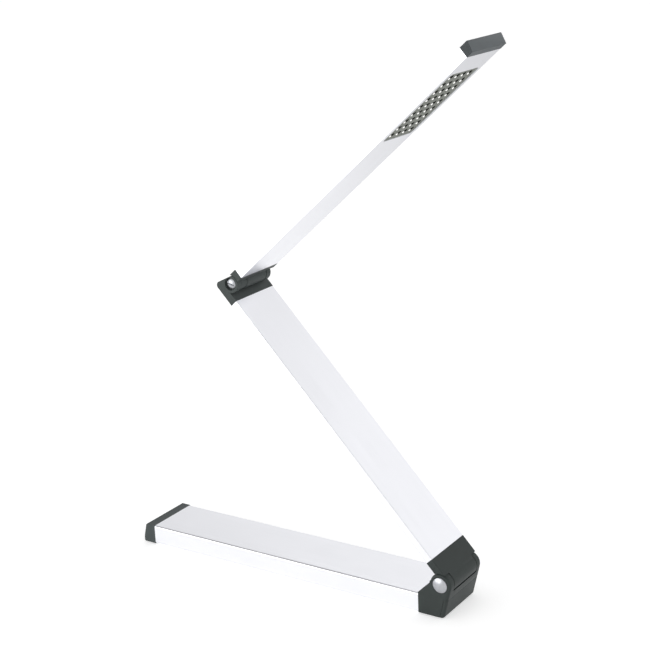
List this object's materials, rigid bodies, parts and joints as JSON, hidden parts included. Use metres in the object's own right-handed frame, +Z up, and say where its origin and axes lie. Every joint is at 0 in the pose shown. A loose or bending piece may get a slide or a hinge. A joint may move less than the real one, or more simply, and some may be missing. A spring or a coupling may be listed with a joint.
{
  "type": "folding led desk lamp",
  "caption": "Folding desk lamp of three flat aluminium bars in a Z, with two friction hinges, a panel of small lights in the top bar and a push button.",
  "frame": {"origin": "middle of the base's underside, on the surface that the lamp stands on", "axes": "+X along the base towards its hinge, +Y from the front to the back, +Z up"},
  "size_m": [0.3011, 0.0494, 0.4032],
  "materials": {
    "anodised": "satin anodised silver",
    "moulding": "fine matt",
    "grey_moulding": "fine matt",
    "bright_steel": "bright turned",
    "panel": "smooth matt",
    "emitter": "clear gloss",
    "circuit": "solder mask",
    "components": "matt black",
    "cell_case": "wrapped, plain",
    "weight": "plain",
    "pad_rubber": "matt",
    "sleeve_brass": "plain",
    "wire": "insulated"
  },
  "bodies": {
    "base": {"base_bar": "anodised", "base_end_cap": "moulding", "hinge_block": "moulding", "hinge_end_cover": "moulding", "hinge_pin": "bright_steel", "hinge_nut": "bright_steel", "hinge_washer_front": "bright_steel", "hinge_washer_back": "bright_steel", "battery_tray": "components", "cell_1": "cell_case", "cell_2": "cell_case", "cell_3": "cell_case", "cell_4": "cell_case", "contact_left": "bright_steel", "contact_right": "bright_steel", "battery_cover": "moulding", "pad_left": "pad_rubber", "pad_right": "pad_rubber", "ballast": "weight", "control_board": "circuit", "control_parts": "components", "base_wires": "wire"},
    "lower_arm": {"lower_bar": "anodised", "lower_knuckle": "moulding", "elbow_fork": "moulding", "hinge_sleeve": "sleeve_brass", "elbow_screw": "bright_steel", "elbow_nut": "bright_steel", "elbow_washer_front": "bright_steel", "elbow_washer_back": "bright_steel", "lower_wires": "wire"},
    "upper_arm": {"upper_bar": "anodised", "upper_knuckle": "moulding", "head_cap": "grey_moulding", "led_panel": "panel", "led_board": "circuit", "leds": "emitter", "led_driver": "components", "switch_body": "components", "elbow_sleeve": "sleeve_brass", "upper_wires": "wire"},
    "power_button": {"power_button": "grey_moulding"}
  },
  "joints": [
    {"name": "base_hinge", "type": "hinge", "parent": "base", "child": "lower_arm", "pos_m": [0.138, 0, 0.0257], "axis": [0, 1, 0], "range_deg": [-47, 63]},
    {"name": "elbow_hinge", "type": "hinge", "parent": "lower_arm", "child": "upper_arm", "pos_m": [-0.02963, 0, 0.22475], "axis": [0, 1, 0], "range_deg": [-62, 88.3]},
    {"name": "button_push", "type": "slide", "parent": "upper_arm", "child": "power_button", "axis": [0.66, 0, -0.7513], "range_m": [0, 0.0005], "stiffness_N_per_m": 2000}
  ]
}
